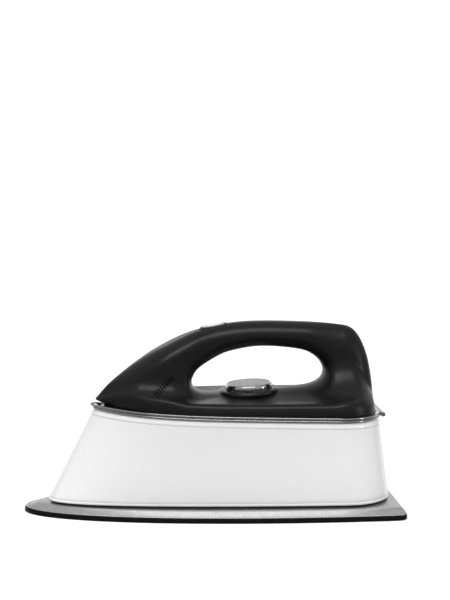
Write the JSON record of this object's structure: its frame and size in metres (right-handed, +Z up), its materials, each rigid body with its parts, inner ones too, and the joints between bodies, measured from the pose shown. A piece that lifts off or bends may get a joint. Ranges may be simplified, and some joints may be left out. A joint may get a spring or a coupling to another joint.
{
  "type": "iron-shaped handbag",
  "caption": "Top-handle handbag shaped like a clothes iron, with a hinged handle lid, metal frame and clasp, stitched body and padded sole plate.",
  "frame": {"origin": "on the floor, under the centre of the sole plate", "axes": "-X points to the nose, +X to the heel, +Y to the far side of the bag seen with the nose on the left, +Z up"},
  "size_m": [0.31, 0.1284, 0.1549],
  "materials": {
    "black_leather": "matte black leather",
    "black_binding": "satin black leather edge binding",
    "silver_leather": "metallic silver leather",
    "white_patent": "high gloss white patent leather",
    "fibreboard": "raw fibreboard",
    "foam": "open cell foam",
    "black_lining": "black woven lining",
    "chrome_frame": "polished nickel plate",
    "chrome_polished": "polished chrome",
    "steel": "plain steel",
    "handle_black": "satin black moulded plastic",
    "collar_black": "gloss black moulded plastic"
  },
  "bodies": {
    "bag_body": {"sole_bottom_cover": "black_leather", "sole_board": "fibreboard", "sole_edge_binding": "black_binding", "sole_padding": "foam", "sole_top_cover": "silver_leather", "base_welt": "black_leather", "base_screws": "steel", "floor_board": "fibreboard", "floor_lining": "black_lining", "body_stiffener": "fibreboard", "body_cover": "white_patent", "body_lining": "black_lining", "lower_frame": "chrome_frame", "frame_rivets": "steel", "hinge_lower_leaf": "chrome_frame", "hinge_pin": "steel", "clasp_bracket": "chrome_frame", "clasp_pin": "steel", "clasp_spring": "steel"},
    "lid": {"upper_frame": "chrome_frame", "hinge_upper_leaf": "chrome_frame", "lid_board": "fibreboard", "lid_lining": "black_lining", "lid_catch": "steel", "lid_screws": "steel", "handle_left_shell": "handle_black", "handle_right_shell": "handle_black", "dial_collar": "collar_black", "button_sleeve": "handle_black", "button_spring": "steel"},
    "clasp": {"clasp_button": "chrome_polished"},
    "dial": {"dial_knob": "chrome_polished", "dial_spindle": "steel", "dial_washer": "steel", "dial_clip": "steel"},
    "button": {"steam_button": "chrome_polished"}
  },
  "joints": [
    {"name": "lid_hinge", "type": "hinge", "parent": "bag_body", "child": "lid", "pos_m": [0.14179, 0, 0.07884], "axis": [0, 1, 0], "range_deg": [0, 75]},
    {"name": "clasp_lift", "type": "hinge", "parent": "bag_body", "child": "clasp", "pos_m": [-0.08936, 0, 0.08711], "axis": [0, 1, 0], "range_deg": [0, 12], "stiffness_Nm_per_rad": 0.02, "springref_deg": -5.73, "deforming": ["clasp_spring"]},
    {"name": "dial_turn", "type": "hinge", "parent": "lid", "child": "dial", "pos_m": [0.03192, 0, 0.09731], "axis": [-0.0558, 0, 0.9984], "range_deg": [-135, 135]},
    {"name": "button_press", "type": "slide", "parent": "lid", "child": "button", "axis": [0.1685, 0, -0.9857], "range_m": [0, 0.002], "stiffness_N_per_m": 500, "springref_m": -0.001, "deforming": ["button_spring"]}
  ]
}
